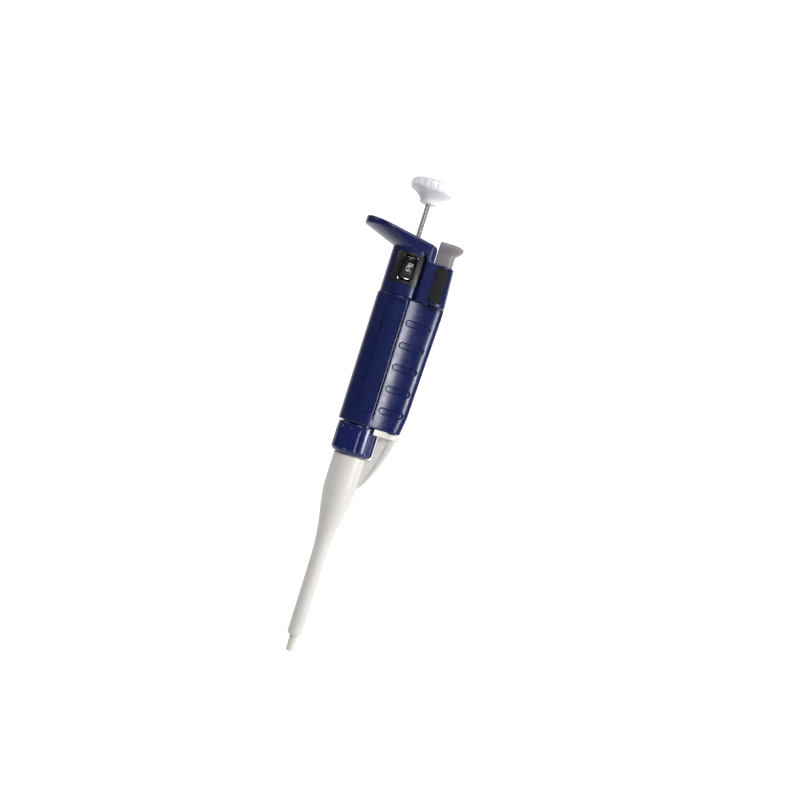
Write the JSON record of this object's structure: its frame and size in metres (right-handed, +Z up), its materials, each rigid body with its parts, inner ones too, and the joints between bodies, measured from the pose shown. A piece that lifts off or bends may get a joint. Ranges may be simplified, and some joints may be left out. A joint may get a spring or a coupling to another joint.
{
  "type": "micropipette",
  "caption": "Hand-held adjustable micropipette with finger hook, push button, tip ejector with side arm, volume counter window, ribbed collar and a long slim shaft with a tip cone.",
  "frame": {"origin": "on the plunger axis, at the height of the head's underside, where a stand's fork holds the pipette", "axes": "+Z up the plunger axis to the push button, +X from the axis to the tip ejector, -X to the finger hook, -Y to the side with the volume window"},
  "size_m": [0.0501, 0.026, 0.2394],
  "materials": {
    "body_plastic": "fine satin, deep blue",
    "collar_plastic": "smoother, deep blue",
    "pad_rubber": "pebbled, matt black",
    "black_plastic": "smooth black",
    "clear_lens": "clear, polished",
    "white_plastic": "satin white",
    "cone_plastic": "satin off-white",
    "grey_plastic": "satin mid grey",
    "drum_plastic": "matt near-black with pale numbers",
    "polished_steel": "ground and polished",
    "spring_steel": "drawn wire",
    "brass": "turned",
    "seal_rubber": "smooth black"
  },
  "bodies": {
    "handle": {"upper_housing": "body_plastic", "grip_body": "body_plastic", "side_panel": "body_plastic", "grip_pad_near": "pad_rubber", "grip_pad_far": "pad_rubber", "window_bezel": "black_plastic", "window_lens": "clear_lens", "guide_bush": "black_plastic", "volume_nut": "brass", "counter_axle": "polished_steel", "tip_cone_shaft": "cone_plastic", "seal_ring": "seal_rubber", "seal_retainer": "white_plastic", "piston_spring": "spring_steel", "blow_out_spring": "spring_steel", "ejector_spring": "spring_steel"},
    "blow_out_stop": {"stop_washer": "polished_steel"},
    "plunger": {"piston": "polished_steel", "piston_cap": "polished_steel"},
    "dial": {"push_button": "white_plastic", "plunger_rod": "polished_steel", "stop_ring": "polished_steel"},
    "volume": {"volume_screw": "brass", "drum_units": "drum_plastic"},
    "tens": {"drum_tens": "drum_plastic"},
    "hundreds": {"drum_hundreds": "drum_plastic"},
    "low_pinion": {"pinion_low": "white_plastic"},
    "high_pinion": {"pinion_high": "white_plastic"},
    "ejector": {"ejector_button": "grey_plastic", "ejector_rod": "polished_steel", "rod_clip": "polished_steel", "ejector_arm": "white_plastic"},
    "collar": {"collar_nut": "collar_plastic"}
  },
  "joints": [
    {"name": "blow_out", "type": "slide", "parent": "handle", "child": "blow_out_stop", "axis": [0, 0, -1], "range_m": [0, 0.0025], "stiffness_N_per_m": 2500, "springref_m": -0.0012, "deforming": ["blow_out_spring"]},
    {"name": "plunge", "type": "slide", "parent": "blow_out_stop", "child": "plunger", "axis": [0, 0, -1], "range_m": [0, 0.013], "stiffness_N_per_m": 250, "springref_m": -0.006, "deforming": ["piston_spring"]},
    {"name": "volume_turn", "type": "hinge", "parent": "plunger", "child": "dial", "pos_m": [0, 0, 0.03], "axis": [0, 0, 1], "range_deg": [-6480, 0]},
    {"name": "screw_turn", "type": "hinge", "parent": "handle", "child": "volume", "pos_m": [0, 0, -0.03], "axis": [0, 0, 1], "range_deg": [-6480, 0]},
    {"name": "tens_turn", "type": "hinge", "parent": "handle", "child": "tens", "pos_m": [0, 0, -0.01], "axis": [0, 0, 1], "range_deg": [-648, 0]},
    {"name": "hundreds_turn", "type": "hinge", "parent": "handle", "child": "hundreds", "pos_m": [0, 0, -0.005], "axis": [0, 0, 1], "range_deg": [-64.8, 0]},
    {"name": "low_pinion_turn", "type": "hinge", "parent": "handle", "child": "low_pinion", "pos_m": [0.00885, 0.00481, -0.0125], "axis": [0, 0, 1], "range_deg": [0, 1620]},
    {"name": "high_pinion_turn", "type": "hinge", "parent": "handle", "child": "high_pinion", "pos_m": [0.00885, 0.00481, -0.0076], "axis": [0, 0, 1], "range_deg": [0, 162]},
    {"name": "eject", "type": "slide", "parent": "handle", "child": "ejector", "axis": [0, 0, -1], "range_m": [0, 0.0065], "stiffness_N_per_m": 900, "springref_m": -0.004, "deforming": ["ejector_spring"]},
    {"name": "collar_turn", "type": "hinge", "parent": "handle", "child": "collar", "pos_m": [0, 0, -0.096], "axis": [0, 0, 1], "range_deg": [0, 60]}
  ],
  "couplings": [
    {"joint": "screw_turn", "follows": "volume_turn", "ratio": 1},
    {"joint": "tens_turn", "follows": "volume_turn", "ratio": 0.1},
    {"joint": "hundreds_turn", "follows": "volume_turn", "ratio": 0.01},
    {"joint": "low_pinion_turn", "follows": "volume_turn", "ratio": -0.25},
    {"joint": "high_pinion_turn", "follows": "volume_turn", "ratio": -0.025}
  ]
}
